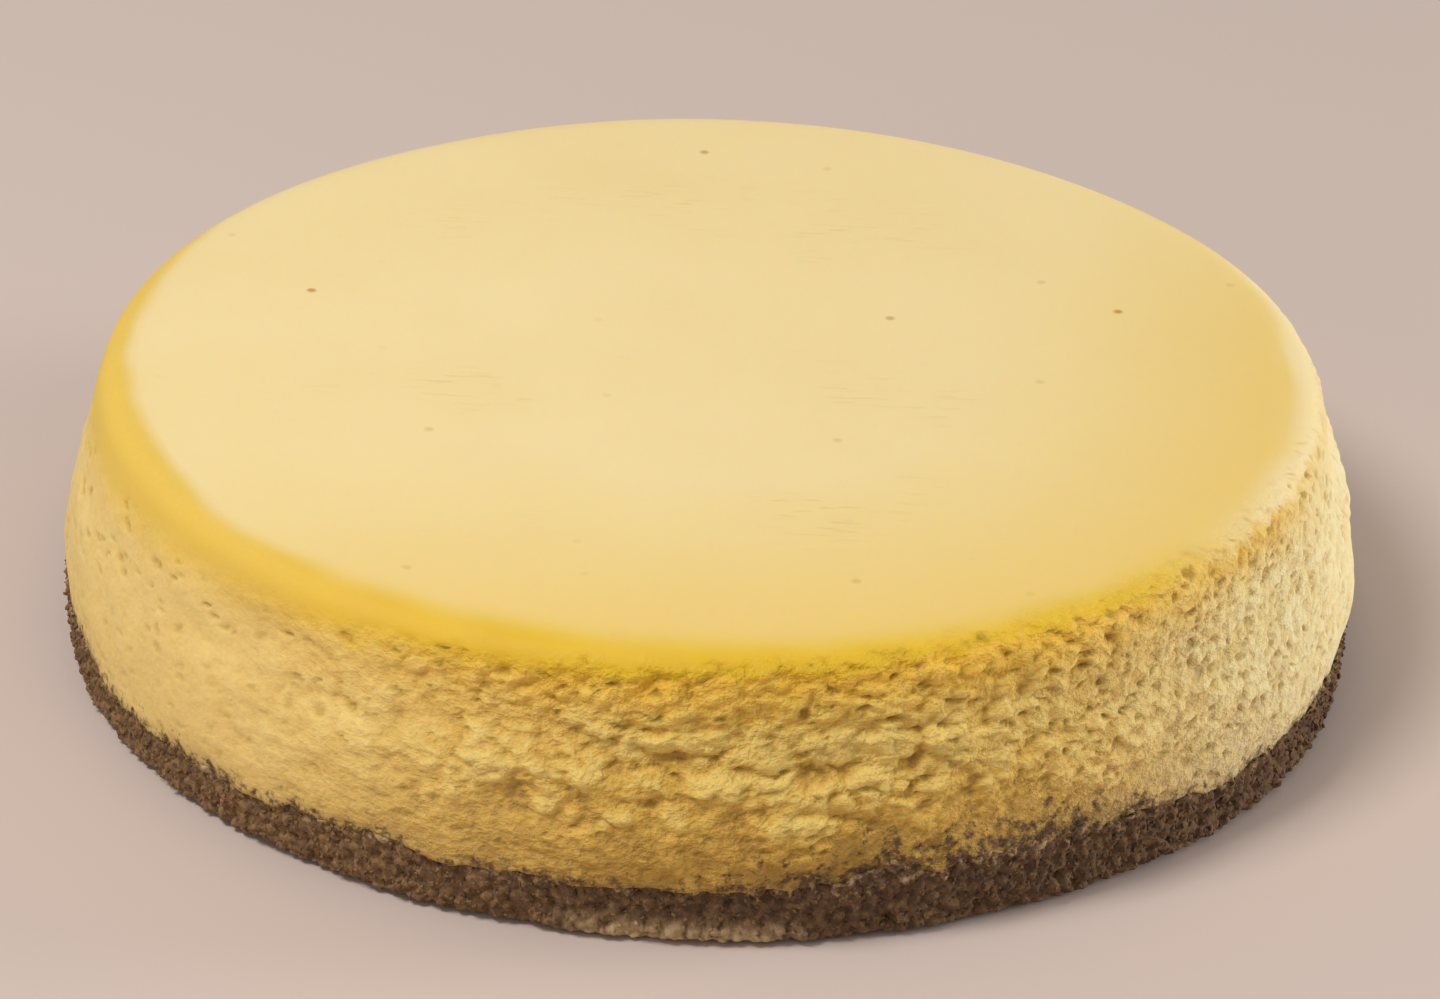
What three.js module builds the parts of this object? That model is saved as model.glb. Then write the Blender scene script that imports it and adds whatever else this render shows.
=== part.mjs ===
// A whole baked cheesecake, in millimetres, +Z up, origin at the centre of its underside.
// A dark biscuit crumb base carries one dense cheese filling. The filling's flat top breaks over a
// smooth rounded shoulder, and its wall, torn where the ring was taken off, swells to a belly.
import * as THREE from "three";

// Driving dimensions
const cakeDiameter = 229; // across the belly, as baked in a 9 inch ring
const cakeHeight = 50;
const bellyHeight = 17; // where the wall is widest
const bellyOut = 0.5; // the belly stands this far outside the foot of the wall
const wallLean = 6.2; // how far the wall leans in between its belly and its shoulder
const leanCurve = 1.2; // power by which that lean grows towards the shoulder
const shoulderHeight = 44.4; // where the torn wall gives way to smooth skin
const skinFade = 6; // the crags die out over this height below the shoulder
const shoulderWidth = 5; // from the shoulder's foot in to the edge of the flat top
const shoulderSway = 1.2; // the shoulder is wider than usual by this much on one side
const shoulderWideAt = 195; // degrees round from +X
const topDip = 0.7; // the middle of the top has sunk by this much
const baseSetBack = 0.8; // the crumb base stands this far inside the belly
const baseDepth = 9.8;
const baseSwell = 4; // extra depth of the crumb base where it was pressed thickest
const baseSwellAt = 292; // degrees round from +X
const baseSwellSpread = 30; // degrees to each side
const footRound = 1.1; // the base's lower edge is rubbed round
const layerGap = 0.3; // between the filling and the base

// Unevenness: width along the wall, height up it, depth in or out, and a seed
const wallSway = { width: 60, height: 70, depth: 0.5, seed: 3 };
const wallLumps = { width: 17, height: 9.5, depth: 0.85, seed: 11 };
const wallCrags = { width: 8.6, height: 4.7, depth: 0.75, seed: 23 };
const tornLedge = { level: 30, drift: 3.2, width: 34, step: 1.7, lip: 2, seed: 54 };
const calmSide = { at: 185, spread: 48, share: 0.65 }; // the wall tore less in this direction
const sideBulge = { at: 0, spread: 17, level: 32, reach: 6, depth: 1.6 }; // a swelling of the wall
const topSway = { width: 62, depth: 0.35, seed: 47 };
const crumbLine = { width: 26, depth: 0.6, seed: 53 };
const crumbLineFine = { width: 7.4, depth: 1.2, seed: 59 };
const baseCrumbs = { width: 8.4, height: 3.4, depth: 0.5, seed: 67 };

// Fineness of the solids
const columns = 200; // round the cake
const wallRows = 16;
const shoulderRows = 3;
const baseRows = 3;
const topRings = [0.34, 0.66, 0.9]; // shares of the flat top's radius
const layerRings = { ragged: 110, flat: 97 }; // radii where the layers' shared face levels out

const { degToRad, euclideanModulo, lerp, seededRandom, smoothstep } = THREE.MathUtils;
const fullTurn = 2 * Math.PI;
const cakeRadius = cakeDiameter / 2;
const circumference = Math.PI * cakeDiameter;

// Primes that keep the draws of neighbouring seeds, rows and columns apart
const seedStride = 1000003;
const rowStride = 7919;
const columnStride = 104729;

// A repeatable number from -1 to 1 for one cell of a lattice.
function cellValue(column, row, seed) {
  return 2 * seededRandom(seed * seedStride + row * rowStride + column * columnStride) - 1;
}

// Smooth noise from -1 to 1 on a lattice, in cells. It may close on itself after some columns.
function latticeNoise(across, up, seed, columnsRound) {
  const column = Math.floor(across);
  const row = Math.floor(up);
  const wrap = (c) => (columnsRound ? euclideanModulo(c, columnsRound) : c);
  const u = smoothstep(across - column, 0, 1);
  const v = smoothstep(up - row, 0, 1);
  const acrossRow = (r) =>
    lerp(cellValue(wrap(column), r, seed), cellValue(wrap(column + 1), r, seed), u);
  return lerp(acrossRow(row), acrossRow(row + 1), v);
}

// Noise round the cake, as deep as it says. Without a height it varies only with the angle.
function roundNoise(angle, z, { width, height = Infinity, depth, seed }) {
  const columnsRound = Math.round(circumference / width);
  const across = (euclideanModulo(angle, fullTurn) / fullTurn) * columnsRound;
  return depth * latticeNoise(across, z / height, seed, columnsRound);
}

// A bell that is 1 at a given direction and falls away to each side.
function bell(angle, { at, spread }) {
  const away = euclideanModulo(angle - degToRad(at) + Math.PI, fullTurn) - Math.PI;
  return Math.exp(-((away / degToRad(spread)) ** 2));
}

// Height of the crumb base at its outer edge, where the crumbs were pressed in unevenly.
function baseEdgeHeight(angle) {
  const swell = baseSwell * bell(angle, { at: baseSwellAt, spread: baseSwellSpread });
  return baseDepth + swell + roundNoise(angle, 0, crumbLine) + roundNoise(angle, 0, crumbLineFine);
}

// The wall's radius before it tore.
function wallRadius(z) {
  const below = Math.max(0, (bellyHeight - z) / (bellyHeight - baseDepth));
  const above = Math.max(0, (z - bellyHeight) / (shoulderHeight - bellyHeight));
  return cakeRadius - bellyOut * below ** 2 - wallLean * above ** leanCurve;
}

// The lower part of the wall stands proud of the upper along a torn, wandering ledge, whose strength
// runs from 0 to 1. Half of its step stands out below the edge and half goes in above it.
function ledgeStep(angle, z) {
  const { level, drift, width, step, lip, seed } = tornLedge;
  const edge = level + roundNoise(angle, 0, { width, depth: drift, seed });
  const strength = (1 + roundNoise(angle, 0, { width, depth: 1, seed: seed + 1 })) / 2;
  return step * strength * (1 / 2 - smoothstep(z, edge, edge + lip));
}

// How far the wall stands in or out. The smooth skin at the shoulder has no crags.
function wallRelief(angle, z) {
  const torn = 1 - smoothstep(z, shoulderHeight - skinFade, shoulderHeight);
  const calm = 1 - calmSide.share * bell(angle, calmSide);
  const crags = roundNoise(angle, z, wallLumps) + roundNoise(angle, z, wallCrags) + ledgeStep(angle, z);
  const upTheBulge = (z - sideBulge.level) / sideBulge.reach;
  const bulge = sideBulge.depth * bell(angle, sideBulge) * Math.exp(-(upTheBulge ** 2));
  return roundNoise(angle, z, wallSway) + torn * (calm * crags + bulge);
}

function topHeight(radius, angle, share) {
  const across = (radius * Math.cos(angle)) / topSway.width;
  const along = (radius * Math.sin(angle)) / topSway.width;
  const sway = topSway.depth * latticeNoise(across, along, topSway.seed);
  return cakeHeight - topDip * (1 - share ** 2) + sway;
}

// The shared face of the two layers, from its ragged edge in to its level middle.
function layerFace(angle, lift) {
  return [
    { radius: layerRings.ragged, z: baseEdgeHeight(angle) + lift },
    { radius: layerRings.flat, z: baseDepth + lift },
    { radius: 0, z: baseDepth + lift },
  ];
}

// The filling's rings at one angle, listed down: top, shoulder, wall and the face on the base.
function fillingSection(angle) {
  const reach = shoulderWidth + shoulderSway * Math.cos(angle - degToRad(shoulderWideAt));
  const footRadius = wallRadius(shoulderHeight) + wallRelief(angle, shoulderHeight);
  const flatRadius = footRadius - reach;
  const rimHeight = topHeight(flatRadius, angle, 1);
  const lowest = baseEdgeHeight(angle) + layerGap;
  const top = [0, ...topRings].map((share) => ({
    radius: share * flatRadius,
    z: topHeight(share * flatRadius, angle, share),
  }));
  const shoulder = Array.from({ length: shoulderRows + 1 }, (_, row) => {
    const turn = (row / shoulderRows) * (Math.PI / 2);
    const drop = (rimHeight - shoulderHeight) * (1 - Math.cos(turn));
    return { radius: flatRadius + reach * Math.sin(turn), z: rimHeight - drop };
  });
  const wall = Array.from({ length: wallRows }, (_, row) => {
    const z = lerp(shoulderHeight, lowest, (row + 1) / wallRows);
    return { radius: wallRadius(z) + wallRelief(angle, z), z };
  });
  return [...top, ...shoulder, ...wall, ...layerFace(angle, layerGap)];
}

// The base's rings at one angle, listed upwards: underside, side and the face under the filling.
function baseSection(angle) {
  const edgeHeight = baseEdgeHeight(angle);
  const side = Array.from({ length: baseRows + 1 }, (_, row) => {
    const z = lerp(footRound, edgeHeight, row / baseRows);
    const uneven = roundNoise(angle, z, baseCrumbs) + roundNoise(angle, z, wallSway);
    return { radius: cakeRadius - baseSetBack + uneven, z };
  });
  const foot = { radius: side[0].radius - footRound, z: 0 };
  return [{ radius: 0, z: 0 }, foot, ...side, ...layerFace(angle, 0)];
}

// A closed solid of rings round the axis, between two points on it. The section at an angle lists
// each ring's radius and height. Listed upwards its faces point out, and listed down they are turned.
function turnedSolid(section, listedDown) {
  const ringCount = section(0).length;
  const blank = Array.from({ length: ringCount }, (_, ring) => new THREE.Vector2(1, ring));
  const geometry = new THREE.LatheGeometry(blank, columns);
  const position = geometry.getAttribute("position");
  for (let column = 0; column <= columns; column++) {
    const angle = ((column % columns) / columns) * fullTurn;
    section(angle).forEach(({ radius, z }, ring) => {
      const vertex = column * ringCount + ring;
      position.setXYZ(vertex, radius * Math.cos(angle), radius * Math.sin(angle), z);
    });
  }
  geometry.deleteAttribute("normal");
  geometry.deleteAttribute("uv");
  if (listedDown) turnFaces(geometry.getIndex());
  return geometry;
}

function turnFaces(index) {
  for (let i = 0; i < index.count; i += 3) {
    const second = index.getX(i + 1);
    index.setX(i + 1, index.getX(i + 2));
    index.setX(i + 2, second);
  }
}

function layerMesh(name, geometry, color, roughness) {
  const material = new THREE.MeshStandardMaterial({ color, roughness, metalness: 0 });
  const mesh = new THREE.Mesh(geometry, material);
  mesh.name = name;
  return mesh;
}

const cheesecake = new THREE.Group();
cheesecake.add(layerMesh("cheese_filling", turnedSolid(fillingSection, true), 0xe9cb8a, 0.5));
cheesecake.add(layerMesh("crumb_base", turnedSolid(baseSection, false), 0x46342a, 0.95));

export default cheesecake;
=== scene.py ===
import math

import bmesh
import bpy
from mathutils import Matrix, Vector


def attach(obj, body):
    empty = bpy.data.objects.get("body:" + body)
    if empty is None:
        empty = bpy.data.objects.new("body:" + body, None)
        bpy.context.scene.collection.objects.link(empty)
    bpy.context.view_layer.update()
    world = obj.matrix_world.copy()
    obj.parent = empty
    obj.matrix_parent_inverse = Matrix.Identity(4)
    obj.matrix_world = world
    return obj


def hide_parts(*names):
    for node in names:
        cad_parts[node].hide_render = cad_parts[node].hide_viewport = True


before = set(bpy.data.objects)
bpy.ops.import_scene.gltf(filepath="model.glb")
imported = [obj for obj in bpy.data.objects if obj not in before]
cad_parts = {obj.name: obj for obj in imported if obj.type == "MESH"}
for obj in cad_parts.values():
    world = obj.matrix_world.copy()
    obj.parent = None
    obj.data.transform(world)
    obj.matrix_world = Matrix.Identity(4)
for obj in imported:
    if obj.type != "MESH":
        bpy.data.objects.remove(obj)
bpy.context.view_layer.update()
mm = 0.001
perMetre = 1 / mm  # millimetres in a metre
noiseMiddle = 0.5  # the value that noise goes up and down around
print("frame loaded:", ", ".join(sorted(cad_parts)))


def linear(hexColour):  # sRGB hex to the linear colour that shaders take
    parts = [int(hexColour[i:i + 2], 16) / 255 for i in (0, 2, 4)]
    return [p / 12.92 if p <= 0.04045 else ((p + 0.055) / 1.055) ** 2.4 for p in parts] + [1.0]


def compass(degrees):  # the flat direction at an angle round from +X
    return (math.cos(math.radians(degrees)), math.sin(math.radians(degrees)), 0)


def addNode(tree, kind, links=None, **settings):  # a link is a socket, a node's first live output or a value
    node = tree.nodes.new(kind)
    for key, value in settings.items():
        setattr(node, key, value)
    for key, value in (links or {}).items():
        if isinstance(value, bpy.types.Node):
            value = next(s for s in value.outputs if s.enabled)
        if isinstance(value, bpy.types.NodeSocket):
            tree.links.new(value, node.inputs[key])
        else:
            node.inputs[key].default_value = value
    return node


def startTree(name, sizes):  # a Geometry Nodes tree with one named input for each size
    tree = bpy.data.node_groups.new(name, "GeometryNodeTree")
    tree.interface.new_socket("Geometry", in_out="OUTPUT", socket_type="NodeSocketGeometry")
    tree.interface.new_socket("Geometry", in_out="INPUT", socket_type="NodeSocketGeometry")
    kinds = {int: "NodeSocketInt", float: "NodeSocketFloat", bpy.types.Object: "NodeSocketObject"}
    for label, value in sizes.items():
        tree.interface.new_socket(label, in_out="INPUT", socket_type=kinds[type(value)])
    return tree, addNode(tree, "NodeGroupInput").outputs


def endTree(tree, shape, material):
    shape = addNode(tree, "GeometryNodeRealizeInstances", {"Geometry": shape})
    shape = addNode(tree, "GeometryNodeSetMaterial", {"Geometry": shape, "Material": material})
    addNode(tree, "NodeGroupOutput", {"Geometry": shape})
    return tree


def plainPiece(holder, tree, sizes, name):  # runs the tree on the holder and keeps the result as its mesh
    modifier = holder.modifiers.new(tree.name, "NODES")
    modifier.node_group = tree
    for socket in tree.interface.items_tree:
        if socket.in_out == "INPUT" and socket.name in sizes:
            modifier[socket.identifier] = sizes[socket.name]
    depsgraph = bpy.context.evaluated_depsgraph_get()
    mesh = bpy.data.meshes.new_from_object(holder.evaluated_get(depsgraph))
    holder.modifiers.clear()
    holder.data = mesh
    holder.name = mesh.name = name
    print(name, "has", sum(len(p.vertices) - 2 for p in mesh.polygons), "triangles")
    return holder


def newHolder(name, mesh):
    holder = bpy.data.objects.new(name, mesh)
    bpy.context.scene.collection.objects.link(holder)
    return holder


def quadCopy(node):  # a CAD node's loose triangles, merged and paired into quads
    form = bmesh.new()
    form.from_mesh(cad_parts[node].data)
    bmesh.ops.remove_doubles(form, verts=form.verts, dist=0.01 * mm)
    bmesh.ops.join_triangles(form, faces=form.faces, angle_face_threshold=math.pi,
                             angle_shape_threshold=math.pi)
    mesh = bpy.data.meshes.new(node + "Copy")
    form.to_mesh(mesh)
    form.free()
    return newHolder(node + "Copy", mesh)


# The cake is not the same all round: the way each stretch faces, in degrees from +X, and how many degrees to
# each side of that it begins and is full
stretches = {
    "calm": (180, 88, 34), "spongy": (325, 36, 14), "mild": (8, 38, 12), "cream": (0, 70, 20),
    "softEdge": (290, 75, 30), "warmEdge": (310, 110, 40), "backRim": (90, 80, 40),
    "raggedLine": (291, 23, 6), "smearedFoot": (269, 12, 5), "paintedLitCrumb": (205, 70, 30),
}
creaseAngle = 1.0  # radians, past which an edge of a layer stays sharp


def facing(tree, outward, stretch):  # 0 away from a stretch, 1 well inside it
    middle, begins, full = stretches[stretch]
    lean = addNode(tree, "ShaderNodeVectorMath", {0: outward, 1: compass(middle)}, operation="DOT_PRODUCT")
    limits = {"From Min": math.cos(math.radians(begins)), "From Max": math.cos(math.radians(full))}
    return addNode(tree, "ShaderNodeMapRange", {"Value": lean, **limits}, interpolation_type="SMOOTHSTEP")


def cakeAxes(tree):  # a point's place, its way out from the middle, and its radius and height in mm
    place = addNode(tree, "GeometryNodeInputPosition")
    axes = addNode(tree, "ShaderNodeSeparateXYZ", {0: place})
    spoke = addNode(tree, "ShaderNodeCombineXYZ", {"X": axes.outputs["X"], "Y": axes.outputs["Y"]})
    outward = addNode(tree, "ShaderNodeVectorMath", {0: spoke}, operation="NORMALIZE")
    radius = addNode(tree, "ShaderNodeVectorMath", {0: spoke}, operation="LENGTH")
    radius = addNode(tree, "ShaderNodeMath", {0: radius, 1: perMetre}, operation="MULTIPLY")
    level = addNode(tree, "ShaderNodeMath", {0: axes.outputs["Z"], 1: perMetre}, operation="MULTIPLY")
    return place, outward, radius, level


def smoothLayer(tree, size):  # the CAD layer rounded off, apart from its rims
    rim = addNode(tree, "GeometryNodeInputMeshEdgeAngle").outputs["Unsigned Angle"]
    rim = addNode(tree, "ShaderNodeMath", {0: rim, 1: creaseAngle}, operation="GREATER_THAN")
    return addNode(tree, "GeometryNodeSubdivisionSurface",
                   {"Mesh": size["Geometry"], "Level": size["fineness"], "Edge Crease": rim})


# Lumps of curd or crumb, as shares of their depth: how much they differ, how far the lowest stands out and
# how steeply they fall to their edges
lump = {"uneven": 0.7, "lowest": 0.25, "fall": 1.8}


def brokenLumps(tree, where, width):  # round lumps about as wide as it says
    often = addNode(tree, "ShaderNodeMath", {0: perMetre, 1: width}, operation="DIVIDE")
    cells = addNode(tree, "ShaderNodeTexVoronoi", {"Vector": where, "Scale": often})
    chance = addNode(tree, "ShaderNodeSeparateXYZ", {0: cells.outputs["Color"]})
    stands = addNode(tree, "ShaderNodeMath", {0: chance, 1: lump["uneven"], 2: lump["lowest"]},
                     operation="MULTIPLY_ADD")
    falls = addNode(tree, "ShaderNodeMath", {0: cells.outputs["Distance"], 1: 2.0}, operation="POWER")
    return addNode(tree, "ShaderNodeMath", {0: falls, 1: -lump["fall"], 2: stands}, operation="MULTIPLY_ADD")


def pushOut(tree, shape, outward, rise, lift):  # moves a layer's points out by rise and up by lift, in mm
    offset = addNode(tree, "ShaderNodeVectorMath", {0: outward, "Scale": rise}, operation="SCALE")
    upward = addNode(tree, "ShaderNodeCombineXYZ", {"Z": lift})
    offset = addNode(tree, "ShaderNodeVectorMath", {0: offset, 1: upward}, operation="ADD")
    offset = addNode(tree, "ShaderNodeVectorMath", {0: offset, "Scale": mm}, operation="SCALE")
    shape = addNode(tree, "GeometryNodeSetPosition", {"Geometry": shape, "Offset": offset})
    return addNode(tree, "GeometryNodeSetShadeSmooth", {"Geometry": shape})


def storeMarks(tree, shape, marks):  # values that the materials read
    for label, value in marks.items():
        shape = addNode(tree, "GeometryNodeStoreNamedAttribute",
                        {"Geometry": shape, "Name": label, "Value": value}, data_type="FLOAT", domain="POINT")
    return shape


# The line between the layers is ragged: their edges go up and down together, and beyond that crumbs are
# pressed up over the curd in places, and curd down over the crumbs
crumbLine = {
    "notch": 5.0, "notchDepth": 6.0, "notchReach": 6.0, "patch": 2.0, "wander": 30.0, "lift": 1.0,  # mm
    "edgeFrom": 107.0, "edgeFull": 111.0,  # mm from the middle, over which the edges begin to move
    "calmest": 0.55, "roughest": 1.25,  # shares of the notches' depth
}


def lineReach(tree, place):  # how far above the layers' joint the line runs, in mm
    patch = addNode(tree, "ShaderNodeTexNoise",
                    {"Vector": place, "Scale": perMetre / crumbLine["patch"], "Detail": 5, "Roughness": 0.68})
    patch = addNode(tree, "ShaderNodeMath", {0: patch, 1: noiseMiddle}, operation="SUBTRACT")
    return addNode(tree, "ShaderNodeMath", {0: patch, 1: crumbLine["wander"], 2: crumbLine["lift"]},
                   operation="MULTIPLY_ADD")


# Gives a point's distance from the other layer in mm, less where the line is more ragged, how far its edge
# lifts, and how near the joint it is
def raggedJoint(tree, other, place, outward, radius, overlap):
    other = addNode(tree, "GeometryNodeObjectInfo", {"Object": other}).outputs["Geometry"]
    away = addNode(tree, "GeometryNodeProximity", {0: other}, target_element="FACES").outputs["Distance"]
    away = addNode(tree, "ShaderNodeMath", {0: away, 1: perMetre}, operation="MULTIPLY")
    ragged = facing(tree, outward, "raggedLine")
    ragged = addNode(tree, "ShaderNodeMapRange",
                     {"Value": ragged, "To Min": crumbLine["calmest"], "To Max": crumbLine["roughest"]})
    around = addNode(tree, "ShaderNodeVectorMath", {0: place, 1: (1, 1, 0)}, operation="MULTIPLY")
    notch = addNode(tree, "ShaderNodeTexNoise",
                    {"Vector": around, "Scale": perMetre / crumbLine["notch"], "Detail": 1})
    lift = addNode(tree, "ShaderNodeMath", {0: notch, 1: noiseMiddle}, operation="SUBTRACT")
    lift = addNode(tree, "ShaderNodeMath", {0: lift, 1: crumbLine["notchDepth"], 2: overlap},
                   operation="MULTIPLY_ADD")
    near = addNode(tree, "ShaderNodeMapRange",
                   {"Value": away, "From Min": crumbLine["notchReach"], "From Max": 0})
    outside = addNode(tree, "ShaderNodeMapRange",
                      {"Value": radius, "From Min": crumbLine["edgeFrom"], "From Max": crumbLine["edgeFull"]})
    for factor in (ragged, near, outside):
        lift = addNode(tree, "ShaderNodeMath", {0: lift, 1: factor}, operation="MULTIPLY")
    return addNode(tree, "ShaderNodeMath", {0: away, 1: ragged}, operation="DIVIDE"), lift, near


# Pressed biscuit crumb: dark, dry and matte, each crumb a little lighter or darker than the next, with some
# curd smeared over it that shows as dull cream
biscuitCrumb = {
    "darkCrumb": "4e3826", "midCrumb": "6d4f33", "paleCrumb": "886740",
    "thinCurd": "937550", "thickCurd": "ccae80",
    "crumbSize": 1.1, "grit": 0.45, "streakWidth": 1.7,  # mm
}


def biscuitCrumbMaterial(look):
    material = bpy.data.materials.new("biscuitCrumb")
    material.use_nodes = True
    tree = material.node_tree
    shader = tree.nodes["Principled BSDF"]
    place = addNode(tree, "ShaderNodeTexCoord").outputs["Object"]
    joint = addNode(tree, "ShaderNodeAttribute", attribute_name="fromJoint").outputs["Fac"]
    foot = addNode(tree, "ShaderNodeAttribute", attribute_name="foot").outputs["Fac"]
    crumbs = addNode(tree, "ShaderNodeTexVoronoi", {"Vector": place, "Scale": perMetre / look["crumbSize"]})
    grit = addNode(tree, "ShaderNodeTexNoise",
                   {"Vector": place, "Scale": perMetre / look["grit"], "Detail": 3})
    shade = addNode(tree, "ShaderNodeSeparateColor", {0: crumbs.outputs["Color"]})
    spoke = addNode(tree, "ShaderNodeVectorMath", {0: place, 1: (1, 1, 0)}, operation="MULTIPLY")
    # the crumbs are painted lighter on the side towards the left: painted light from the left
    paintedLeftLight = facing(tree, addNode(tree, "ShaderNodeVectorMath", {0: spoke}, operation="NORMALIZE"), "paintedLitCrumb")
    tone = addNode(tree, "ShaderNodeMath", {0: shade, 1: 0.4, 2: 0.05}, operation="MULTIPLY_ADD")
    tone = addNode(tree, "ShaderNodeMath", {0: grit, 1: 0.5, 2: tone}, operation="MULTIPLY_ADD")
    tone = addNode(tree, "ShaderNodeMath", {0: paintedLeftLight, 1: 0.2, 2: tone}, operation="MULTIPLY_ADD")
    colour = addNode(tree, "ShaderNodeValToRGB", {"Fac": tone})
    colour.color_ramp.elements[0].position = 0.25
    colour.color_ramp.elements[0].color = linear(look["darkCrumb"])
    colour.color_ramp.elements[1].position = 0.85
    colour.color_ramp.elements[1].color = linear(look["paleCrumb"])
    colour.color_ramp.elements.new(0.62).color = linear(look["midCrumb"])

    # curd over the top edge, and in upright streaks low down at the front
    below = addNode(tree, "ShaderNodeMath", {0: lineReach(tree, place), 1: joint}, operation="ADD")
    over = addNode(tree, "ShaderNodeMapRange", {"Value": below, "From Min": 2.5, "From Max": -2.0})
    upright = addNode(tree, "ShaderNodeVectorMath", {0: place, 1: (1, 1, 0.3)}, operation="MULTIPLY")
    streak = addNode(tree, "ShaderNodeTexNoise",
                     {"Vector": upright, "Scale": perMetre / look["streakWidth"], "Detail": 3})
    streak = addNode(tree, "ShaderNodeMapRange", {"Value": streak, "From Min": 0.33, "From Max": 0.5})
    streak = addNode(tree, "ShaderNodeMath", {0: streak, 1: foot}, operation="MULTIPLY")
    smear = addNode(tree, "ShaderNodeMath", {0: over, 1: streak}, operation="MAXIMUM")
    curd = addNode(tree, "ShaderNodeMix",
                   {0: tone, 6: linear(look["thinCurd"]), 7: linear(look["thickCurd"])}, data_type="RGBA")
    colour = addNode(tree, "ShaderNodeMix", {0: smear, 6: colour, 7: curd}, data_type="RGBA")
    tree.links.new(colour.outputs[2], shader.inputs["Base Color"])
    shader.inputs["Roughness"].default_value = 0.9
    shader.inputs["IOR"].default_value = 1.45
    bump = addNode(tree, "ShaderNodeBump", {"Height": grit, "Strength": 0.6, "Distance": 0.4 * mm})
    tree.links.new(bump.outputs[0], shader.inputs["Normal"])
    return material


# The crumb base: the CAD solid with its side broken up into crumbs
crumbBase = {
    "fineness": 3, "crumbWidth": 1.8, "crumbDepth": 1.0, "flush": 0.3,  # mm, apart from the fineness
    "smearHeight": 5.5, "smearFull": 2.5, "sideFrom": 108.0, "sideFull": 112.0,
}
crumbOverlap = 0.0  # mm by which the base's top edge goes past the joint


def crumbCoreTree(sizes, material):
    tree, size = startTree("crumbCore", sizes)
    shape = smoothLayer(tree, size)
    place, outward, radius, level = cakeAxes(tree)
    onSide = addNode(tree, "ShaderNodeMapRange",
                     {"Value": radius, "From Min": size["sideFrom"], "From Max": size["sideFull"]})
    away, lift, near = raggedJoint(tree, size["wall"], place, outward, radius, crumbOverlap)
    rise = brokenLumps(tree, place, size["crumbWidth"])
    rise = addNode(tree, "ShaderNodeMath", {0: rise, 1: size["crumbDepth"]}, operation="MULTIPLY")
    rise = addNode(tree, "ShaderNodeMath", {0: near, 1: size["flush"], 2: rise}, operation="MULTIPLY_ADD")
    rise = addNode(tree, "ShaderNodeMath", {0: rise, 1: onSide}, operation="MULTIPLY")
    low = addNode(tree, "ShaderNodeMapRange",
                  {"Value": level, "From Min": size["smearHeight"], "From Max": size["smearFull"]})
    foot = facing(tree, outward, "smearedFoot")
    foot = addNode(tree, "ShaderNodeMath", {0: foot, 1: low}, operation="MULTIPLY")
    shape = storeMarks(tree, shape, {"fromJoint": away, "foot": foot})
    shape = pushOut(tree, shape, outward, rise, lift)
    return endTree(tree, shape, material)


crumb = biscuitCrumbMaterial(biscuitCrumb)
baseSizes = {**crumbBase, "wall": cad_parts["cheese_filling"]}
crumbCore = plainPiece(quadCopy("crumb_base"), crumbCoreTree(baseSizes, crumb), baseSizes, "crumbCore")
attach(crumbCore, "root")
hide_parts("crumb_base")


# Baked cheese: a satin pale skin on top that browns to gold over the shoulder, and matte torn curd below it,
# cream where it stands out and ochre in its hollows, which is painted highlight and painted shade; towards
# the right it is painted paler, painted light. Light goes a little way in.
bakedCheese = {
    "paleTop": "e9d29b", "warmTop": "e3c888", "goldenTop": "e2bf66",
    "goldSkin": "e5bd28", "deepGold": "d4aa1c", "skinPit": "a67b12",
    "curdLip": "e5c46c", "curdFace": "daae50", "curdHollow": "ba9042",
    "toastedShadedCurd": "eeb932", "crevice": "9e7b29", "paintedLitCurd": "ebe1b2",
    "crumbStain": "7c603c", "darkStain": "4a3521",
    "topPatch": 46, "wrinkleLength": 9, "pinholeSpacing": 36, "curdPatch": 11,  # mm
    "curdGrain": 0.9, "curdBead": 2.2, "wrinklesFrom": 85, "wrinklesFull": 55,
    "paintedLightLevel": 31, "paintedShadeLevel": 15, "dullReach": 6.0, "stainFrom": -3.0, "stainFull": 1.5,
}


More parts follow.
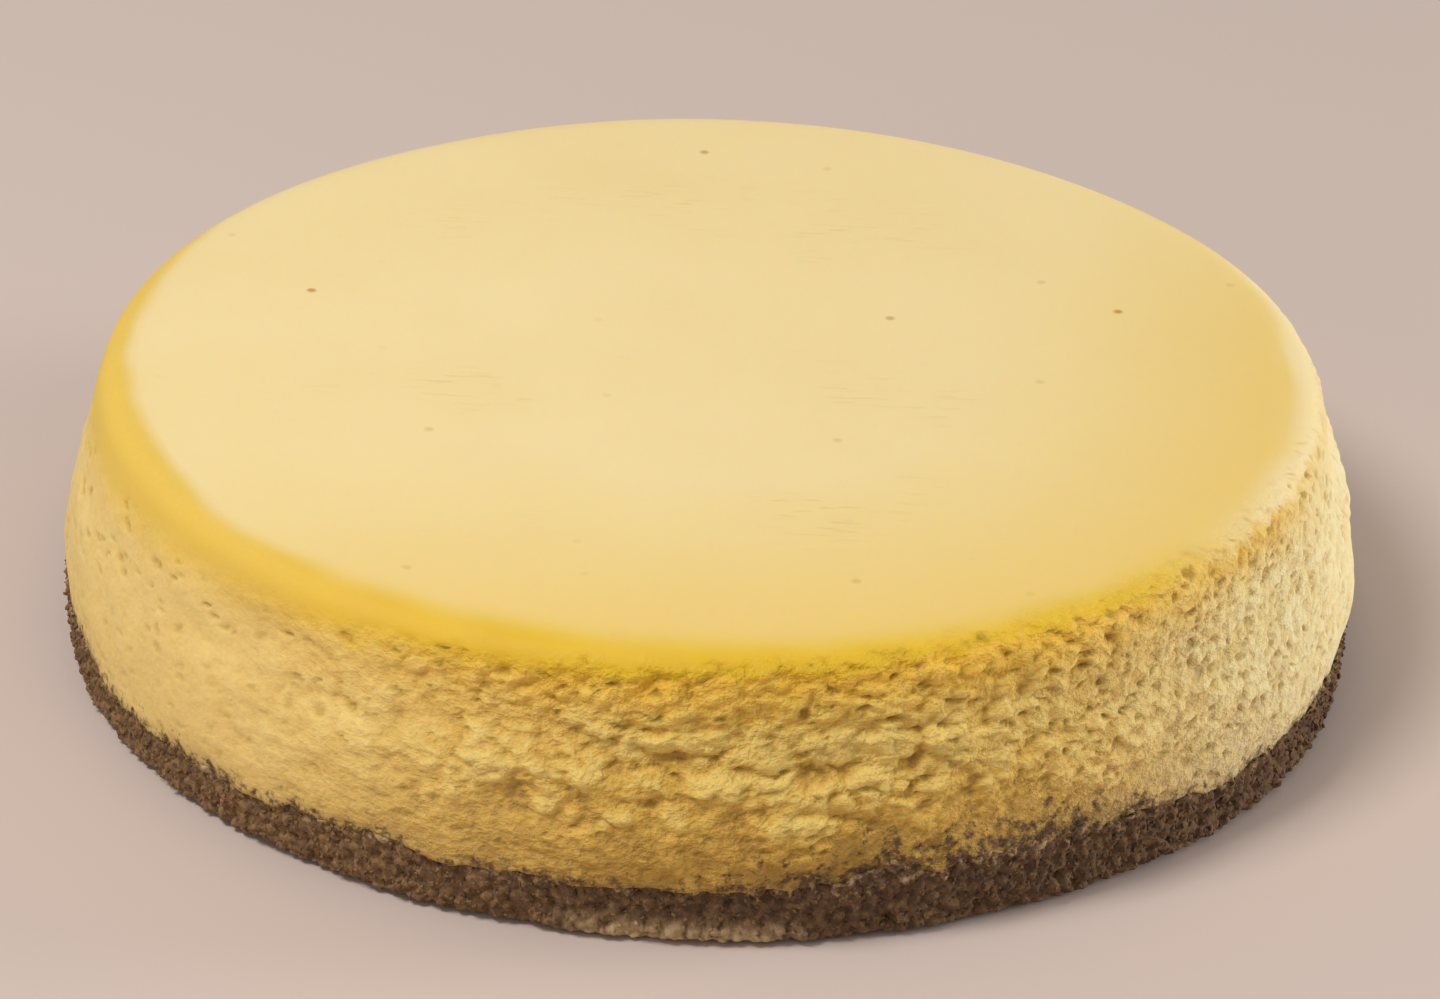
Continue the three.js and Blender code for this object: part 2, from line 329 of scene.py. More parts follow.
def bakedCheeseMaterial(look):
    material = bpy.data.materials.new("bakedCheese")
    material.use_nodes = True
    tree = material.node_tree
    shader = tree.nodes["Principled BSDF"]
    place = addNode(tree, "ShaderNodeTexCoord").outputs["Object"]
    marks = {}
    for label in ("pale", "warm", "skin", "crag", "tear", "toast", "cream", "pit", "fromJoint"):
        marks[label] = addNode(tree, "ShaderNodeAttribute", attribute_name=label).outputs["Fac"]

    patch = addNode(tree, "ShaderNodeTexNoise",
                    {"Vector": place, "Scale": perMetre / look["curdPatch"], "Detail": 4})
    grain = addNode(tree, "ShaderNodeTexNoise",
                    {"Vector": place, "Scale": perMetre / look["curdGrain"], "Detail": 3})
    # the curd's tone follows its relief: lighter where it stands out and darker in its hollows, painted
    # highlight and painted shade
    tone = addNode(tree, "ShaderNodeMath", {0: patch, 1: 0.3, 2: marks["crag"]}, operation="MULTIPLY_ADD")
    tone = addNode(tree, "ShaderNodeMath", {0: grain, 1: 0.3, 2: tone}, operation="MULTIPLY_ADD")

    # torn curd is made of small uneven beads, painted darker between them: painted shade
    squat = addNode(tree, "ShaderNodeVectorMath", {0: place, 1: (1, 1, 1.4)}, operation="MULTIPLY")
    bead = addNode(tree, "ShaderNodeTexNoise",
                   {"Vector": squat, "Scale": perMetre / look["curdBead"], "Detail": 3, "Roughness": 0.6})
    bead = addNode(tree, "ShaderNodeMapRange",
                   {"Value": bead, "From Min": 0.34, "From Max": 0.66, "To Min": -0.5, "To Max": 0.5})
    beaded = addNode(tree, "ShaderNodeMath", {0: bead, 1: marks["tear"]}, operation="MULTIPLY")
    tone = addNode(tree, "ShaderNodeMath", {0: beaded, 1: 0.3, 2: tone}, operation="MULTIPLY_ADD")
    level = addNode(tree, "ShaderNodeSeparateXYZ", {0: place}).outputs["Z"]
    tone = addNode(tree, "ShaderNodeMath", {0: tone, 1: 0.3}, operation="SUBTRACT")
    # the torn wall is painted lighter high up and darker low down: painted light from above, and painted
    # shade where the lower wall turns away from it
    low = addNode(tree, "ShaderNodeMapRange",
                  {"Value": level, "From Min": look["paintedLightLevel"] * mm, "From Max": look["paintedShadeLevel"] * mm,
                   "To Min": 0.2, "To Max": -0.18})
    tone = addNode(tree, "ShaderNodeMath", {0: low, 1: marks["tear"], 2: tone}, operation="MULTIPLY_ADD")
    curd = addNode(tree, "ShaderNodeValToRGB", {"Fac": tone})
    curd.color_ramp.elements[0].position = 0.25
    curd.color_ramp.elements[0].color = linear(look["curdHollow"])
    curd.color_ramp.elements[1].position = 0.85
    curd.color_ramp.elements[1].color = linear(look["curdLip"])
    curd.color_ramp.elements.new(0.55).color = linear(look["curdFace"])
    # the ochre under the skin is partly the curd's baked colour and partly painted shade under the skin's
    # overhang
    bakedAndShaded = addNode(tree, "ShaderNodeMath", {0: marks["cream"], 1: -0.65, 2: 0.8}, operation="MULTIPLY_ADD")
    bakedAndShaded = addNode(tree, "ShaderNodeMath", {0: marks["toast"], 1: bakedAndShaded}, operation="MULTIPLY")
    # the curd is painted paler cream where it stands out and towards the right: painted highlight and painted
    # light
    sunk = addNode(tree, "ShaderNodeMapRange", {"Value": marks["crag"], "From Min": 0.6, "From Max": 0.35})
    paintedLight = addNode(tree, "ShaderNodeMapRange", {"Value": sunk, "To Min": 0.75, "To Max": 0.42})
    raw = addNode(tree, "ShaderNodeMath", {0: 1.0, 1: marks["toast"]}, operation="SUBTRACT")
    for factor in (marks["cream"], raw):
        paintedLight = addNode(tree, "ShaderNodeMath", {0: paintedLight, 1: factor}, operation="MULTIPLY")
    # pits are painted darker, on the curd and on the gold: painted shade in them
    dark = addNode(tree, "ShaderNodeMath", {0: marks["pit"], 1: 0.8}, operation="MULTIPLY")
    for share, tint in ((bakedAndShaded, "toastedShadedCurd"), (paintedLight, "paintedLitCurd"), (dark, "crevice")):
        curd = addNode(tree, "ShaderNodeMix", {0: share, 6: curd, 7: linear(look[tint])}, data_type="RGBA")

    # the curd is dull near the joint, and crumbs are pressed into it up to the ragged line
    dull = addNode(tree, "ShaderNodeMapRange",
                   {"Value": marks["fromJoint"], "From Min": look["dullReach"], "From Max": 0.0,
                    "To Max": 0.4})
    curd = addNode(tree, "ShaderNodeMix", {0: dull, 6: curd, 7: linear(look["crumbStain"])}, data_type="RGBA")
    under = lineReach(tree, place)
    under = addNode(tree, "ShaderNodeMath", {0: under, 1: marks["fromJoint"]}, operation="SUBTRACT")
    stain = addNode(tree, "ShaderNodeMapRange",
                    {"Value": under, "From Min": look["stainFrom"], "From Max": look["stainFull"]})
    crumbTone = addNode(tree, "ShaderNodeMix",
                        {0: grain, 6: linear(look["darkStain"]), 7: linear(look["crumbStain"])},
                        data_type="RGBA")
    curd = addNode(tree, "ShaderNodeMix", {0: stain, 6: curd, 7: crumbTone}, data_type="RGBA")

    # the top is marked with a few pinholes and faint short wrinkles, painted darker in them: painted shade
    topPatch = addNode(tree, "ShaderNodeTexNoise",
                       {"Vector": place, "Scale": perMetre / look["topPatch"], "Detail": 3})
    flat = addNode(tree, "ShaderNodeVectorMath", {0: place, 1: (1, 1, 0)}, operation="MULTIPLY")
    holes = addNode(tree, "ShaderNodeTexVoronoi",
                    {"Vector": flat, "Scale": perMetre / look["pinholeSpacing"]}, voronoi_dimensions="2D")
    hole = addNode(tree, "ShaderNodeMapRange",
                   {"Value": holes.outputs["Distance"], "From Min": 0.03, "From Max": 0.012})
    strength = addNode(tree, "ShaderNodeSeparateColor", {0: holes.outputs["Color"]})
    strength = addNode(tree, "ShaderNodeMath", {0: strength, 1: 2.5}, operation="POWER")
    for factor in (strength, marks["pale"]):
        hole = addNode(tree, "ShaderNodeMath", {0: hole, 1: factor}, operation="MULTIPLY")
    drawn = addNode(tree, "ShaderNodeVectorMath", {0: flat, 1: (1, 7, 0)}, operation="MULTIPLY")
    wrinkles = addNode(tree, "ShaderNodeTexNoise",
                       {"Vector": drawn, "Scale": perMetre / look["wrinkleLength"], "Detail": 2})
    wrinkled = addNode(tree, "ShaderNodeMapRange", {"Value": topPatch, "From Min": 0.54, "From Max": 0.62})
    furrow = addNode(tree, "ShaderNodeMapRange", {"Value": wrinkles, "From Min": 0.42, "From Max": 0.34})
    fromMiddle = addNode(tree, "ShaderNodeVectorMath", {0: flat}, operation="LENGTH").outputs["Value"]
    inside = addNode(tree, "ShaderNodeMapRange",
                     {"Value": fromMiddle, "From Min": look["wrinklesFrom"] * mm,
                      "From Max": look["wrinklesFull"] * mm})
    for factor in (wrinkled, inside):
        furrow = addNode(tree, "ShaderNodeMath", {0: furrow, 1: factor}, operation="MULTIPLY")
    mark = addNode(tree, "ShaderNodeMath", {0: furrow, 1: 0.18, 2: hole}, operation="MULTIPLY_ADD")
    top = addNode(tree, "ShaderNodeMix",
                  {0: topPatch, 6: linear(look["paleTop"]), 7: linear(look["warmTop"])}, data_type="RGBA")
    for share, tint in ((marks["warm"], "goldenTop"), (mark, "curdHollow")):
        top = addNode(tree, "ShaderNodeMix", {0: share, 6: top, 7: linear(look[tint])}, data_type="RGBA")
    gold = addNode(tree, "ShaderNodeMix",
                   {0: patch, 6: linear(look["goldSkin"]), 7: linear(look["deepGold"])}, data_type="RGBA")
    # the gold is painted pale towards the right: painted light washing it out
    paler = addNode(tree, "ShaderNodeMath", {0: marks["cream"], 1: 4.0}, operation="POWER")
    for share, tint in ((paler, "paleTop"), (dark, "skinPit")):
        gold = addNode(tree, "ShaderNodeMix", {0: share, 6: gold, 7: linear(look[tint])}, data_type="RGBA")
    side = addNode(tree, "ShaderNodeMix", {0: marks["skin"], 6: curd, 7: gold}, data_type="RGBA")
    whole = addNode(tree, "ShaderNodeMix", {0: marks["pale"], 6: side, 7: top}, data_type="RGBA")
    tree.links.new(whole.outputs[2], shader.inputs["Base Color"])

    gloss = addNode(tree, "ShaderNodeMapRange", {"Value": marks["skin"], "To Min": 0.8, "To Max": 0.6})
    tree.links.new(gloss.outputs[0], shader.inputs["Roughness"])
    shader.inputs["IOR"].default_value = 1.46
    shader.inputs["Specular IOR Level"].default_value = 0.35
    shader.inputs["Subsurface Weight"].default_value = 0.5
    shader.inputs["Subsurface Radius"].default_value = (1.0, 0.6, 0.25)
    shader.inputs["Subsurface Scale"].default_value = 1.6 * mm

    dent = addNode(tree, "ShaderNodeMath", {0: furrow, 1: hole}, operation="ADD")
    fold = addNode(tree, "ShaderNodeBump",
                   {"Height": dent, "Strength": 0.3, "Distance": 0.3 * mm}, invert=True)
    rough = addNode(tree, "ShaderNodeMapRange", {"Value": marks["tear"], "To Min": 0.03, "To Max": 0.35})
    lumpy = addNode(tree, "ShaderNodeBump",
                    {"Height": beaded, "Strength": 0.7, "Distance": 0.9 * mm, "Normal": fold})
    bump = addNode(tree, "ShaderNodeBump",
                   {"Height": grain, "Strength": rough, "Distance": 0.6 * mm, "Normal": lumpy})
    tree.links.new(bump.outputs[0], shader.inputs["Normal"])
    return material


# The filling: the CAD solid made smooth, then torn below its skin
filling = {
    "fineness": 2, "skinHeight": 43.6, "skinTilt": 5.2, "skinPatch": 7.0, "skinWander": 8.0, "skinStep": 0.4,
    "paleRadius": 103.4, "backPale": 4.0, "warmFrom": 45.0, "warmFull": 105.0,  # mm, apart from the fineness
    "wallFrom": 100.0, "wallFull": 105.0, "tornFrom": 16.0, "tornFull": 24.0,
    "swellWidth": 22.0, "swellRise": 30.0, "chunkWidth": 7.5, "chunkDepth": 0.9,
    "curdWidth": 3.6, "curdDepth": 0.85, "grainWidth": 2.2, "grainDepth": 0.4,
    "ledgePatch": 15.0, "ledgeRise": 6.5, "ledgeDepth": 0.9,
    "crackLength": 5.0, "crackDepth": 0.7, "pitWidth": 1.8, "pitDepth": 0.65,
}
highestSkin = 325  # degrees round from +X, where the smooth skin ends highest
curdBends = ((7, 5), (1.8, 1.5))  # mm, the width and sway of the bends in the grid that the curd breaks on
curdOverlap = -0.9  # mm by which the filling's lower edge goes past the joint, so that no gap shows


def tornFillingTree(sizes, material):
    tree, size = startTree("tornFilling", sizes)
    shape = smoothLayer(tree, size)
    place, outward, radius, level = cakeAxes(tree)
    calm = facing(tree, outward, "calm")
    spongy = facing(tree, outward, "spongy")
    mild = addNode(tree, "ShaderNodeMath", {0: facing(tree, outward, "mild"), 1: 0.75}, operation="MULTIPLY")
    still = addNode(tree, "ShaderNodeMath", {0: calm, 1: mild}, operation="MAXIMUM")
    tear = addNode(tree, "ShaderNodeMapRange", {"Value": still, "To Min": 1.0, "To Max": 0.12})
    firm = addNode(tree, "ShaderNodeMapRange", {"Value": spongy, "To Min": 1.0, "To Max": 0.2})

    often = {}  # how many of each kind of patch there are in a metre
    for patch in ("skinPatch", "swellWidth", "ledgePatch"):
        often[patch] = addNode(tree, "ShaderNodeMath", {0: perMetre, 1: size[patch]}, operation="DIVIDE")

    # the ragged line where the smooth skin ends
    highSide = addNode(tree, "ShaderNodeVectorMath", {0: outward, 1: compass(highestSkin)},
                       operation="DOT_PRODUCT")
    wander = addNode(tree, "ShaderNodeTexNoise",
                     {"Vector": place, "Scale": often["skinPatch"], "Detail": 6, "Roughness": 0.7})
    wander = addNode(tree, "ShaderNodeMath", {0: wander, 1: noiseMiddle}, operation="SUBTRACT")
    edge = addNode(tree, "ShaderNodeMath", {0: highSide, 1: size["skinTilt"], 2: size["skinHeight"]},
                   operation="MULTIPLY_ADD")
    edge = addNode(tree, "ShaderNodeMath", {0: wander, 1: size["skinWander"], 2: edge},
                   operation="MULTIPLY_ADD")
    overEdge = addNode(tree, "ShaderNodeMath", {0: level, 1: edge}, operation="SUBTRACT")
    skinFades = addNode(tree, "ShaderNodeMath", {0: calm, 1: -5.0, 2: -0.9}, operation="MULTIPLY_ADD")
    skinFull = addNode(tree, "ShaderNodeMath", {0: calm, 1: 3.0, 2: 0.5}, operation="MULTIPLY_ADD")
    skinMost = addNode(tree, "ShaderNodeMath", {0: calm, 1: -0.4, 2: 1.0}, operation="MULTIPLY_ADD")
    skin = addNode(tree, "ShaderNodeMapRange",
                   {"Value": overEdge, "From Min": skinFades, "From Max": skinFull, "To Max": skinMost},
                   interpolation_type="SMOOTHSTEP")
    # the curd just under the skin turns ochre: partly its baked colour and partly painted shade under the
    # skin's overhang
    toast = addNode(tree, "ShaderNodeMapRange", {"Value": overEdge, "From Min": -10, "From Max": -0.5})
    toast = addNode(tree, "ShaderNodeMath", {0: toast, 1: tear}, operation="MULTIPLY")

    # broken curd in three sizes on a bent grid: coarse half way up, fine under the skin, little low down
    bent = place
    for width, sway in curdBends:
        warp = addNode(tree, "ShaderNodeTexNoise", {"Vector": place, "Scale": perMetre / width, "Detail": 2})
        warp = addNode(tree, "ShaderNodeVectorMath", {0: warp.outputs["Color"], 1: (noiseMiddle,) * 3},
                       operation="SUBTRACT")
        warp = addNode(tree, "ShaderNodeVectorMath", {0: warp, "Scale": sway * mm}, operation="SCALE")
        bent = addNode(tree, "ShaderNodeVectorMath", {0: bent, 1: warp}, operation="ADD")
    swell = addNode(tree, "ShaderNodeTexNoise", {"Vector": place, "Scale": often["swellWidth"], "Detail": 1})
    swell = addNode(tree, "ShaderNodeMath", {0: swell, 1: noiseMiddle}, operation="SUBTRACT")
    swayed = addNode(tree, "ShaderNodeMath", {0: swell, 1: size["swellRise"], 2: level},
                     operation="MULTIPLY_ADD")
    high = addNode(tree, "ShaderNodeMapRange", {"Value": overEdge, "From Min": -11, "From Max": -5})
    middle = addNode(tree, "ShaderNodeMapRange",
                     {"Value": swayed, "From Min": size["tornFrom"], "From Max": size["tornFull"],
                      "To Min": 0.25})
    coarse = addNode(tree, "ShaderNodeMath", {0: high, 1: -0.7, 2: middle}, operation="MULTIPLY_ADD")
    coarse = addNode(tree, "ShaderNodeMath", {0: coarse, 1: firm}, operation="MULTIPLY")
    medium = addNode(tree, "ShaderNodeMapRange", {"Value": firm, "To Min": 0.5})
    medium = addNode(tree, "ShaderNodeMath", {0: middle, 1: medium}, operation="MULTIPLY")
    fine = addNode(tree, "ShaderNodeMath", {0: high, 1: 0.2, 2: middle}, operation="MULTIPLY_ADD")
    relief = 0.0
    for width, depth, squash, where in (("chunkWidth", "chunkDepth", 1.4, coarse),
                                        ("curdWidth", "curdDepth", 1.5, medium),
                                        ("grainWidth", "grainDepth", 1.6, fine)):
        squat = addNode(tree, "ShaderNodeVectorMath", {0: bent, 1: (1, 1, squash)}, operation="MULTIPLY")
        rise = brokenLumps(tree, squat, size[width])
        rise = addNode(tree, "ShaderNodeMath", {0: rise, 1: size[depth]}, operation="MULTIPLY")
        relief = addNode(tree, "ShaderNodeMath", {0: rise, 1: where, 2: relief}, operation="MULTIPLY_ADD")

    # torn ledges: the wall comes out upwards to a jagged lip, then falls back
    drift = addNode(tree, "ShaderNodeTexNoise",
                    {"Vector": bent, "Scale": often["ledgePatch"], "Detail": 4, "Roughness": 0.6})
    turn = addNode(tree, "ShaderNodeMath", {0: level, 1: size["ledgeRise"]}, operation="DIVIDE")
    turn = addNode(tree, "ShaderNodeMath", {0: drift, 1: 2.2, 2: turn}, operation="MULTIPLY_ADD")
    turn = addNode(tree, "ShaderNodeMath", {0: turn}, operation="FRACT")
    comesOut = addNode(tree, "ShaderNodeMapRange", {"Value": turn, "From Min": 0, "From Max": 0.8})
    comesOut = addNode(tree, "ShaderNodeMath", {0: comesOut, 1: 1.5}, operation="POWER")
    fallsBack = addNode(tree, "ShaderNodeMapRange", {"Value": turn, "From Min": 1.0, "From Max": 0.8})
    ledge = addNode(tree, "ShaderNodeMath", {0: comesOut, 1: fallsBack}, operation="MINIMUM")
    here = addNode(tree, "ShaderNodeTexNoise", {"Vector": bent, "Scale": often["ledgePatch"], "Detail": 2})
    here = addNode(tree, "ShaderNodeMapRange", {"Value": here, "From Min": 0.46, "From Max": 0.56})
    for factor in (here, coarse):
        ledge = addNode(tree, "ShaderNodeMath", {0: ledge, 1: factor}, operation="MULTIPLY")
    relief = addNode(tree, "ShaderNodeMath", {0: ledge, 1: size["ledgeDepth"], 2: relief},
                     operation="MULTIPLY_ADD")
    relief = addNode(tree, "ShaderNodeMath", {0: relief, 1: size["skinStep"]}, operation="SUBTRACT")
    bare = addNode(tree, "ShaderNodeMapRange", {"Value": overEdge, "From Min": 3.0, "From Max": 0.0},
                   interpolation_type="SMOOTHSTEP")
    onWall = addNode(tree, "ShaderNodeMapRange",
                     {"Value": radius, "From Min": size["wallFrom"], "From Max": size["wallFull"]})
    for factor in (bare, onWall):
        tear = addNode(tree, "ShaderNodeMath", {0: tear, 1: factor}, operation="MULTIPLY")
    relief = addNode(tree, "ShaderNodeMath", {0: relief, 1: tear}, operation="MULTIPLY")

    # short flat pits, most of them just below the skin, and round ones where the wall is spongy
    few = addNode(tree, "ShaderNodeMapRange",
                  {"Value": overEdge, "From Min": -17, "From Max": -6, "To Min": 0.5})
    pits = 0.0
    for stretch, width, depth, share, where in (((1, 1, 2.8), "crackLength", "crackDepth", 0.55, few),
                                                ((1, 1, 0.85), "pitWidth", "pitDepth", 0.6, spongy)):
        drawn = addNode(tree, "ShaderNodeVectorMath", {0: bent, 1: stretch}, operation="MULTIPLY")
        dense = addNode(tree, "ShaderNodeMath", {0: perMetre, 1: size[width]}, operation="DIVIDE")
        cells = addNode(tree, "ShaderNodeTexVoronoi", {"Vector": drawn, "Scale": dense})
        chance = addNode(tree, "ShaderNodeSeparateXYZ", {0: cells.outputs["Color"]})
        chosen = addNode(tree, "ShaderNodeMath", {0: chance, 1: share}, operation="LESS_THAN")
        pit = addNode(tree, "ShaderNodeMapRange",
                      {"Value": cells.outputs["Distance"], "From Min": 0.38, "From Max": 0.14},
                      interpolation_type="SMOOTHSTEP")
        for factor in (chosen, where, size[depth]):
            pit = addNode(tree, "ShaderNodeMath", {0: pit, 1: factor}, operation="MULTIPLY")
        pits = addNode(tree, "ShaderNodeMath", {0: pits, 1: pit}, operation="MAXIMUM")
    highest = addNode(tree, "ShaderNodeMath", {0: spongy, 1: 3.0, 2: 2.0}, operation="MULTIPLY_ADD")
    belowTop = addNode(tree, "ShaderNodeMapRange", {"Value": overEdge, "From Min": highest, "From Max": 0.0})
    faint = addNode(tree, "ShaderNodeMapRange", {"Value": tear, "To Min": 0.65, "To Max": 1.0})
    for factor in (belowTop, onWall, faint):
        pits = addNode(tree, "ShaderNodeMath", {0: pits, 1: factor}, operation="MULTIPLY")
    # the material paints shade in the pits from this mark
    pitted = addNode(tree, "ShaderNodeMath", {0: pits, 1: size["crackDepth"]}, operation="DIVIDE",
                     use_clamp=True)
    pitted = addNode(tree, "ShaderNodeMath", {0: pitted, 1: faint}, operation="MULTIPLY")
    relief = addNode(tree, "ShaderNodeMath", {0: relief, 1: pits}, operation="SUBTRACT")
    # the relief goes to the material, which paints the hollows darker and the lips lighter: painted shade and
    # painted highlight
    crag = addNode(tree, "ShaderNodeMapRange", {"Value": relief, "From Min": -1.7, "From Max": 1.2})

    # the pale top ends at the shoulder, softly at the front and further out at the back
    limit = addNode(tree, "ShaderNodeMath",
                    {0: facing(tree, outward, "backRim"), 1: size["backPale"], 2: size["paleRadius"]},
                    operation="MULTIPLY_ADD")
    past = addNode(tree, "ShaderNodeMath", {0: swell, 1: 5.0, 2: radius}, operation="MULTIPLY_ADD")
    past = addNode(tree, "ShaderNodeMath", {0: past, 1: limit}, operation="SUBTRACT")
    soft = facing(tree, outward, "softEdge")
    paleFades = addNode(tree, "ShaderNodeMath", {0: soft, 1: 1.8, 2: 1.3}, operation="MULTIPLY_ADD")
    paleFull = addNode(tree, "ShaderNodeMath", {0: soft, 1: -4.0, 2: -2.3}, operation="MULTIPLY_ADD")
    pale = addNode(tree, "ShaderNodeMapRange", {"Value": past, "From Min": paleFades, "From Max": paleFull},
                   interpolation_type="SMOOTHSTEP")
    warm = addNode(tree, "ShaderNodeMapRange",
                   {"Value": radius, "From Min": size["warmFrom"], "From Max": size["warmFull"]})
    warmSide = facing(tree, outward, "warmEdge")
    warm = addNode(tree, "ShaderNodeMath", {0: warm, 1: warmSide}, operation="MULTIPLY")
    # this marks the wall for painting paler towards the right, and a third as much on the calm side: painted
    # light
    cream = addNode(tree, "ShaderNodeMath", {0: facing(tree, outward, "cream"), 1: 1.5}, operation="POWER")
    cream = addNode(tree, "ShaderNodeMath", {0: calm, 1: 0.33, 2: cream}, operation="MULTIPLY_ADD")
    away, lift = raggedJoint(tree, size["base"], place, outward, radius, curdOverlap)[:2]
    shape = storeMarks(tree, shape, {"pale": pale, "warm": warm, "skin": skin, "crag": crag, "tear": tear,
                                     "toast": toast, "cream": cream, "pit": pitted, "fromJoint": away})
    shape = pushOut(tree, shape, outward, relief, lift)
    return endTree(tree, shape, material)


cheese = bakedCheeseMaterial(bakedCheese)
fillingSizes = {**filling, "base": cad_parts["crumb_base"]}
fillingTree = tornFillingTree(fillingSizes, cheese)
tornFilling = plainPiece(quadCopy("cheese_filling"), fillingTree, fillingSizes, "tornFilling")
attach(tornFilling, "root")
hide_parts("cheese_filling")


# Loose biscuit crumbs over the base and up to the ragged line
looseBiscuit = {
    "spacing": 0.9, "smallest": 0.2, "largest": 0.5, "crumpleWidth": 0.8, "crumpleDepth": 1.2,  # mm
    "crowding": 1.0,  # at most, for each square mm
    "fineness": 1, "seed": 8,
}
sideRadius = 111.5  # mm, outside which a point is on the cake's side
clearHeight = 1.6  # mm, so that no bit reaches through the floor
wellClear = 20.0  # mm from the joint, as marked on loose crumbs, so that they keep their own colour
onceRound = 6.28  # radians


def scatterPoints(tree, size, mesh, share):  # points on the cake's side, where share is over 0
    radius, level = cakeAxes(tree)[2:]
    onSide = addNode(tree, "ShaderNodeMath", {0: radius, 1: sideRadius}, operation="GREATER_THAN")
    clear = addNode(tree, "ShaderNodeMath", {0: level, 1: clearHeight}, operation="GREATER_THAN")
    for factor in (onSide, clear):
        share = addNode(tree, "ShaderNodeMath", {0: share, 1: factor}, operation="MULTIPLY")
    spacing = addNode(tree, "ShaderNodeMath", {0: size["spacing"], 1: mm}, operation="MULTIPLY")
    crowding = addNode(tree, "ShaderNodeMath", {0: size["crowding"], 1: perMetre ** 2}, operation="MULTIPLY")
    return addNode(tree, "GeometryNodeDistributePointsOnFaces",
                   {"Mesh": mesh, "Distance Min": spacing, "Density Max": crowding, "Density Factor": share,
                    "Seed": size["seed"]}, distribute_method="POISSON")


def scatterBits(tree, size, points, marks):  # crumpled bits of uneven size on the points
    turn = addNode(tree, "FunctionNodeRandomValue", {0: (0, 0, 0), 1: (onceRound,) * 3, 8: 1},
                   data_type="FLOAT_VECTOR")
    girth = addNode(tree, "FunctionNodeRandomValue", {2: size["smallest"], 3: size["largest"], 8: 2},
                    data_type="FLOAT")
    girth = addNode(tree, "ShaderNodeMath", {0: girth, 1: mm}, operation="MULTIPLY")
    aspect = addNode(tree, "FunctionNodeRandomValue", {0: (0.7, 0.7, 0.7), 1: (1.4, 1.4, 1.4), 8: 3},
                     data_type="FLOAT_VECTOR")
    aspect = addNode(tree, "ShaderNodeVectorMath", {0: aspect, "Scale": girth}, operation="SCALE")
    bit = addNode(tree, "GeometryNodeMeshIcoSphere", {"Radius": 1, "Subdivisions": size["fineness"]})
    shape = addNode(tree, "GeometryNodeInstanceOnPoints",
                    {"Points": points, "Instance": bit.outputs["Mesh"],
                     "Rotation": addNode(tree, "FunctionNodeEulerToRotation", {0: turn}), "Scale": aspect})
    shape = addNode(tree, "GeometryNodeRealizeInstances", {"Geometry": shape})
    place = addNode(tree, "GeometryNodeInputPosition")
    often = addNode(tree, "ShaderNodeMath", {0: perMetre, 1: size["crumpleWidth"]}, operation="DIVIDE")
    depth = addNode(tree, "ShaderNodeMath", {0: size["crumpleDepth"], 1: mm}, operation="MULTIPLY")
    crumple = addNode(tree, "ShaderNodeTexNoise", {"Vector": place, "Scale": often, "Detail": 2})
    crumple = addNode(tree, "ShaderNodeVectorMath", {0: crumple.outputs["Color"], 1: (noiseMiddle,) * 3},
                      operation="SUBTRACT")
    crumple = addNode(tree, "ShaderNodeVectorMath", {0: crumple, "Scale": depth}, operation="SCALE")
    shape = addNode(tree, "GeometryNodeSetPosition", {"Geometry": shape, "Offset": crumple})
    return storeMarks(tree, shape, marks)


def looseBiscuitTree(sizes, material):
    tree, size = startTree("looseBiscuit", sizes)
    reach = lineReach(tree, cakeAxes(tree)[0])
    joint = addNode(tree, "GeometryNodeInputNamedAttribute", {"Name": "fromJoint"}, data_type="FLOAT")
    wall = addNode(tree, "GeometryNodeObjectInfo", {"Object": size["wall"]}).outputs["Geometry"]
    points = addNode(tree, "GeometryNodeJoinGeometry")
    foot = addNode(tree, "GeometryNodeInputNamedAttribute", {"Name": "foot"}, data_type="FLOAT")
    for mesh, operation, depth in ((size["Geometry"], "ADD", 0.0), (wall, "SUBTRACT", 1.5)):
        inside = addNode(tree, "ShaderNodeMath", {0: reach, 1: joint}, operation=operation)
        share = addNode(tree, "ShaderNodeMath", {0: inside, 1: depth}, operation="GREATER_THAN")
        share = addNode(tree, "ShaderNodeMath", {0: share, 1: foot}, operation="SUBTRACT", use_clamp=True)
        some = scatterPoints(tree, size, mesh, share)
        tree.links.new(some.outputs["Points"], points.inputs["Geometry"])
    shape = scatterBits(tree, size, points, {"fromJoint": wellClear})
    return endTree(tree, shape, material)


biscuitSizes = {**looseBiscuit, "wall": tornFilling}
biscuitTree = looseBiscuitTree(biscuitSizes, crumb)
biscuitCrumbs = plainPiece(newHolder("biscuitCrumbs", crumbCore.data.copy()), biscuitTree, biscuitSizes,
                           "biscuitCrumbs")
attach(biscuitCrumbs, "root")


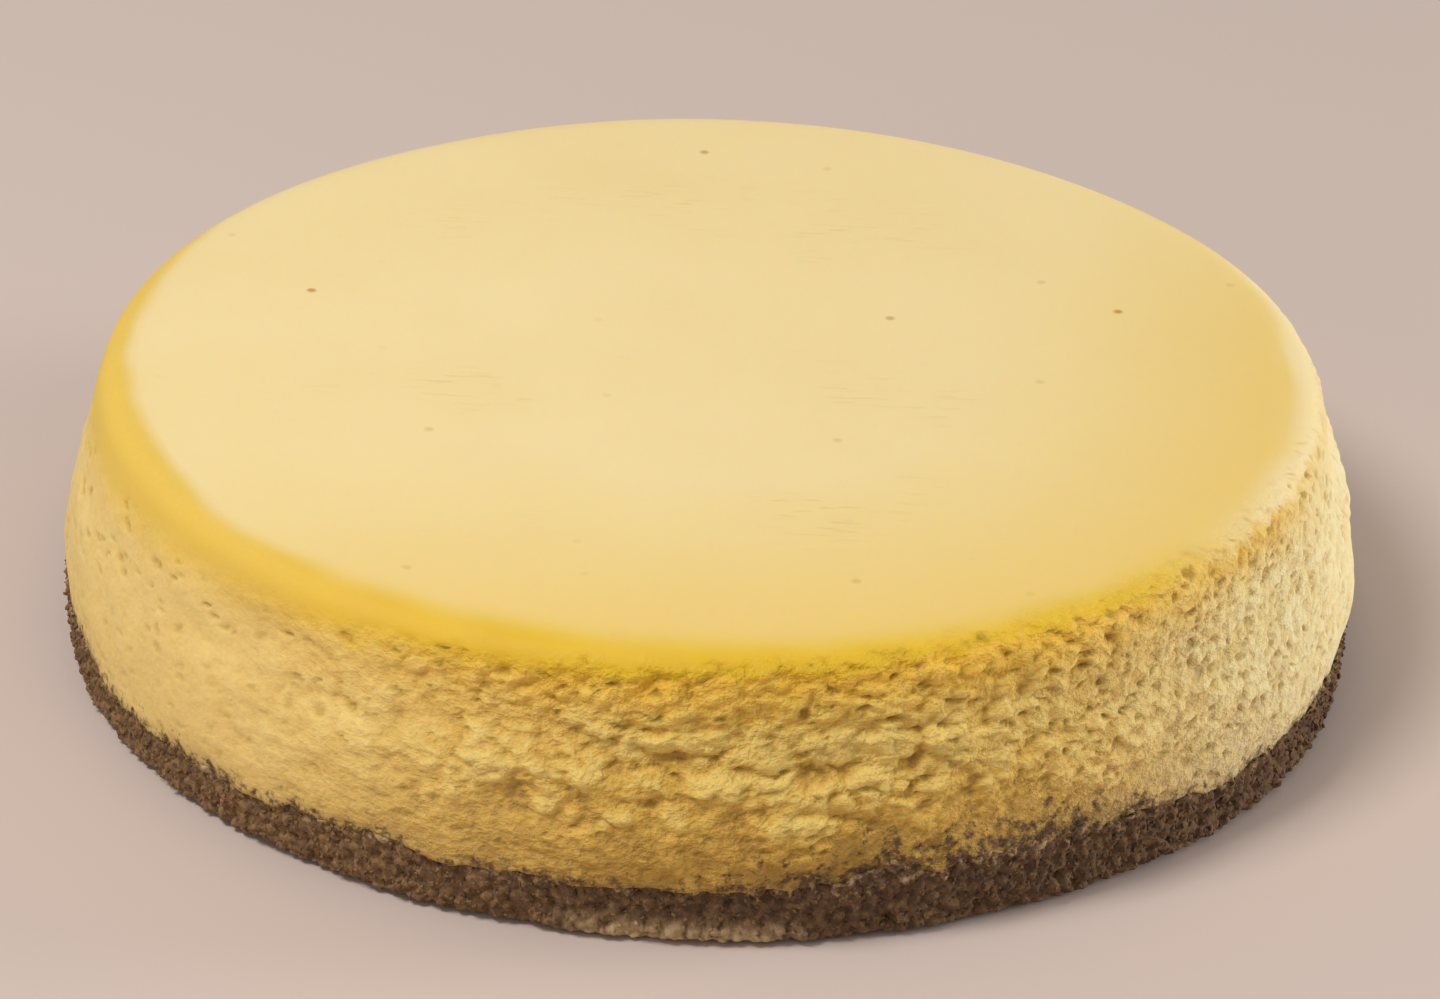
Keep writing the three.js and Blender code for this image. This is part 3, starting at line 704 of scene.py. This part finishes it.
# Plain pale floor, soft light and the camera
stage = {
    "floorColour": "c7b4a9", "floorRoughness": 0.95, "floorSize": 6.0,  # metres
    "skyColour": "ffffff", "skyStrength": 0.44,
    "aimHeight": 25, "distance": 1200, "lens": 169.05, "sensorWidth": 36,  # mm
    "elevation": 27.5, "roll": 2.09, "shift": (9.6, -9.0),  # degrees, and pixels of the photograph
}
photoWidth = 1440  # pixels that the camera's shift is counted in
softLights = {  # place and size in metres, and power in watts
    "keyLight": ((-0.6, -0.35, 1.2), 0.5, 11.3),
    "leftLight": ((-0.75, -0.9, 0.45), 0.8, 1.5),
    "rightLight": ((2.2, 0.34, 0.46), 0.95, 33.5),
}


def makeFloor(look):  # matte card, pale and too rough to shine
    half = look["floorSize"] / 2
    mesh = bpy.data.meshes.new("floor")
    corners = [(-half, -half, 0), (half, -half, 0), (half, half, 0), (-half, half, 0)]
    mesh.from_pydata(corners, [], [(0, 1, 2, 3)])
    floor = newHolder("floor", mesh)
    material = bpy.data.materials.new("matteCard")
    material.use_nodes = True
    shader = material.node_tree.nodes["Principled BSDF"]
    shader.inputs["Base Color"].default_value = linear(look["floorColour"])
    shader.inputs["Roughness"].default_value = look["floorRoughness"]
    mesh.materials.append(material)


def makeLight(name, place, size, power):  # a round white light that points at the cake
    lamp = bpy.data.lights.new(name, "AREA")
    lamp.shape = "DISK"
    lamp.size = size
    lamp.energy = power
    holder = newHolder(name, lamp)
    holder.location = place
    holder.rotation_euler = (-Vector(place)).to_track_quat("-Z", "Y").to_euler()


def makeCamera(look):
    camera = bpy.data.cameras.new("photoCamera")
    camera.lens = look["lens"]
    camera.sensor_width = look["sensorWidth"]
    camera.shift_x = look["shift"][0] / photoWidth
    camera.shift_y = look["shift"][1] / photoWidth
    holder = newHolder("photoCamera", camera)
    tilt = math.radians(look["elevation"])
    back = Vector((0, -math.cos(tilt), math.sin(tilt)))
    aim = Vector((0, 0, look["aimHeight"] * mm))
    turn = (-back).to_track_quat("-Z", "Y").to_matrix() @ Matrix.Rotation(math.radians(look["roll"]), 3, "Z")
    holder.matrix_world = Matrix.Translation(aim + back * look["distance"] * mm) @ turn.to_4x4()
    bpy.context.scene.camera = holder


makeFloor(stage)
for lightName, (lightPlace, lightSize, lightPower) in softLights.items():
    makeLight(lightName, lightPlace, lightSize, lightPower)
makeCamera(stage)
world = bpy.data.worlds.new("softSky")
world.use_nodes = True
world.node_tree.nodes["Background"].inputs["Color"].default_value = linear(stage["skyColour"])
world.node_tree.nodes["Background"].inputs["Strength"].default_value = stage["skyStrength"]
bpy.context.scene.world = world
bpy.context.scene.view_settings.view_transform = "Standard"
print("stage, lights and camera made")
